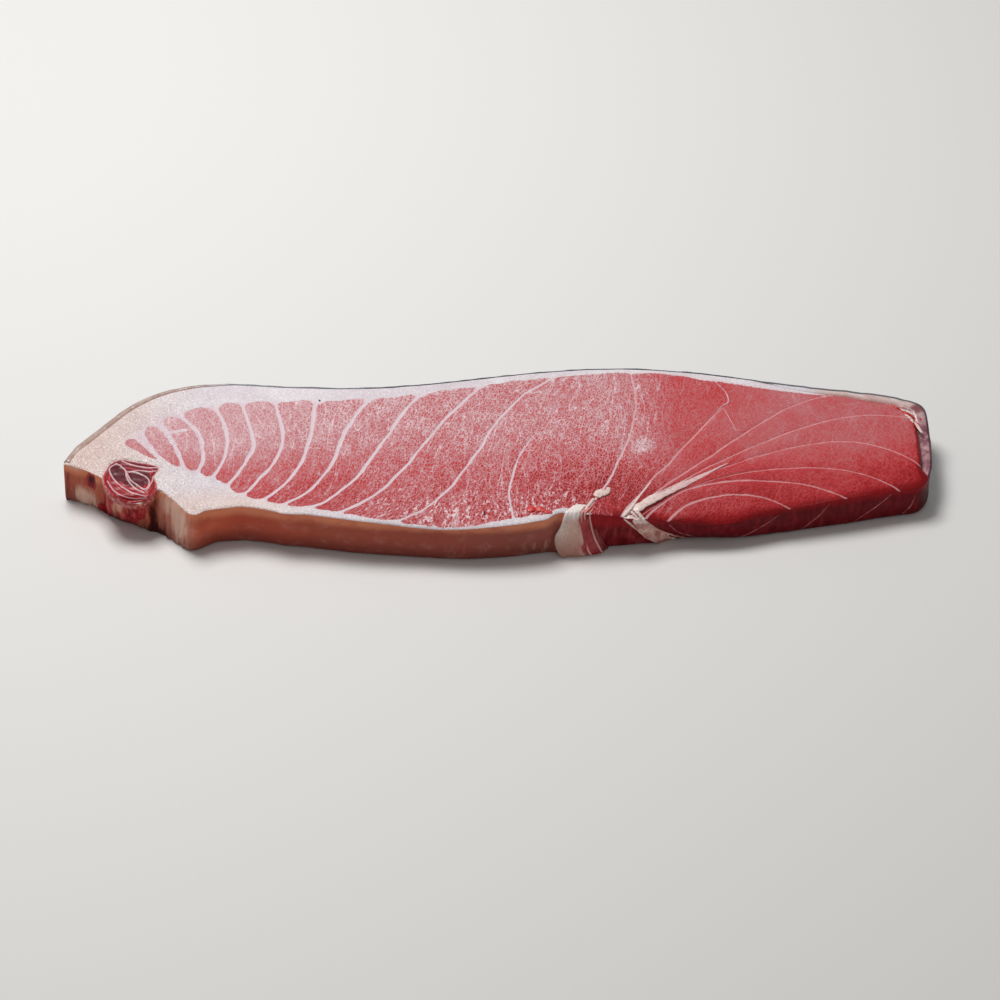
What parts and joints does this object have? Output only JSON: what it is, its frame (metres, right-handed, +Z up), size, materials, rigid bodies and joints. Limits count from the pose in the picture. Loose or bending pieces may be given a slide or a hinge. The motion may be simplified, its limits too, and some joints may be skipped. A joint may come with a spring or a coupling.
{
  "type": "tuna belly",
  "caption": "Thick raw cut of tuna belly lying flat, marbled pink meat between curved white sinews, pale fat and skin along the far side, dark lean end.",
  "frame": {"origin": "centre of the footprint, on the surface the cut rests on", "axes": "+X from the narrow fin end to the blunt lean end, +Y from the trimmed front to the skin side, +Z up through the cut's thickness"},
  "size_m": [0.5084, 0.1464, 0.0272],
  "materials": {
    "raw_tuna": "moist raw fish meat with white sinew lines",
    "tuna_fat": "moist pale fat and belly lining",
    "tuna_skin": "wet silver grey fish skin"
  },
  "bodies": {
    "root": {"tuna_belly": "raw_tuna"}
  },
  "joints": []
}
